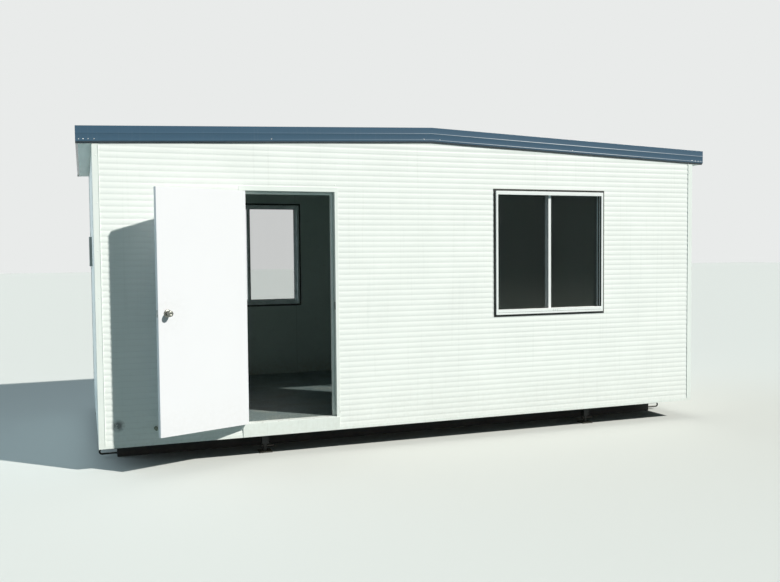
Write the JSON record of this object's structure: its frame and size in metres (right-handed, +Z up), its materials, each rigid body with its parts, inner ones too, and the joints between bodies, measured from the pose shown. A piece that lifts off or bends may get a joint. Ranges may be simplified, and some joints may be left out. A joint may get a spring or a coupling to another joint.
{
  "type": "portable site cabin",
  "caption": "Transportable site cabin with ribbed white panel walls, a low double-pitched roof with blue fascias, an outward opening door, sliding windows and a steel skid chassis.",
  "frame": {"origin": "middle of the footprint on the ground, with the door standing open as at rest", "axes": "+X along the front wall to the right, +Y from the door side to the rear, +Z up"},
  "size_m": [6.25, 3.3978, 2.9581],
  "materials": {
    "white_cladding": "ribbed steel sheet, gloss white paint",
    "white_trim": "folded steel, gloss white paint",
    "inner_white": "flat steel inner skin, satin off-white paint",
    "door_white": "flat steel, semi-gloss white paint",
    "threshold": "folded steel, scuffed white paint",
    "roof_white": "ribbed steel sheet, white paint",
    "blue_steel": "roll-formed steel, semi-gloss blue-grey paint",
    "chassis_steel": "structural steel, flat black paint",
    "galvanised": "dull zinc-plated steel",
    "knob_metal": "satin chrome plate",
    "plywood": "raw formwork plywood",
    "vinyl": "grey flecked vinyl sheet, satin",
    "rubber": "black rubber, matt",
    "vent_grey": "pressed steel, grey paint",
    "window_white": "extruded aluminium, gloss white powder coat",
    "window_glass": "clear float glass"
  },
  "bodies": {
    "cabin": {"skids": "chassis_steel", "pull_loops": "chassis_steel", "edge_beams": "chassis_steel", "floor_joists": "chassis_steel", "levelling_legs": "chassis_steel", "leg_pins": "galvanised", "floor_deck": "plywood", "floor_vinyl": "vinyl", "base_channels": "white_trim", "front_wall_left": "inner_white", "front_wall_under_door": "inner_white", "front_wall_over_door": "inner_white", "front_wall_right": "inner_white", "rear_wall": "inner_white", "left_wall": "inner_white", "right_wall": "inner_white", "front_cladding": "white_cladding", "rear_cladding": "white_cladding", "left_cladding": "white_cladding", "right_cladding": "white_cladding", "corner_flashings": "white_trim", "roof_panel_left": "roof_white", "roof_panel_right": "roof_white", "ridge_cap": "roof_white", "front_barge": "blue_steel", "rear_barge": "blue_steel", "end_fascias": "blue_steel", "door_jamb_hinge": "door_white", "door_jamb_strike": "door_white", "door_head": "door_white", "door_threshold": "threshold", "hinge_leaves_frame": "galvanised", "window_seals": "rubber", "front_window_frame": "window_white", "front_window_sash": "window_white", "front_window_glass": "window_glass", "rear_window_frame": "window_white", "rear_window_sash": "window_white", "rear_window_glass": "window_glass", "wall_vent": "vent_grey", "door_stop": "rubber"},
    "door": {"door_leaf": "door_white", "hinge_leaves_door": "galvanised", "knob_roses": "knob_metal"},
    "knob": {"door_knob": "knob_metal"}
  },
  "joints": [
    {"name": "door_hinge", "type": "hinge", "parent": "cabin", "child": "door", "pos_m": [-1.7775, -1.33113, 1.3275], "axis": [0, 0, -1], "range_deg": [-159.5, 15]},
    {"name": "knob_turn", "type": "hinge", "parent": "door", "child": "knob", "pos_m": [-2.46352, -1.61645, 1.32], "axis": [0.3502, -0.9367, 0], "range_deg": [-60, 60], "stiffness_Nm_per_rad": 0.4}
  ]
}
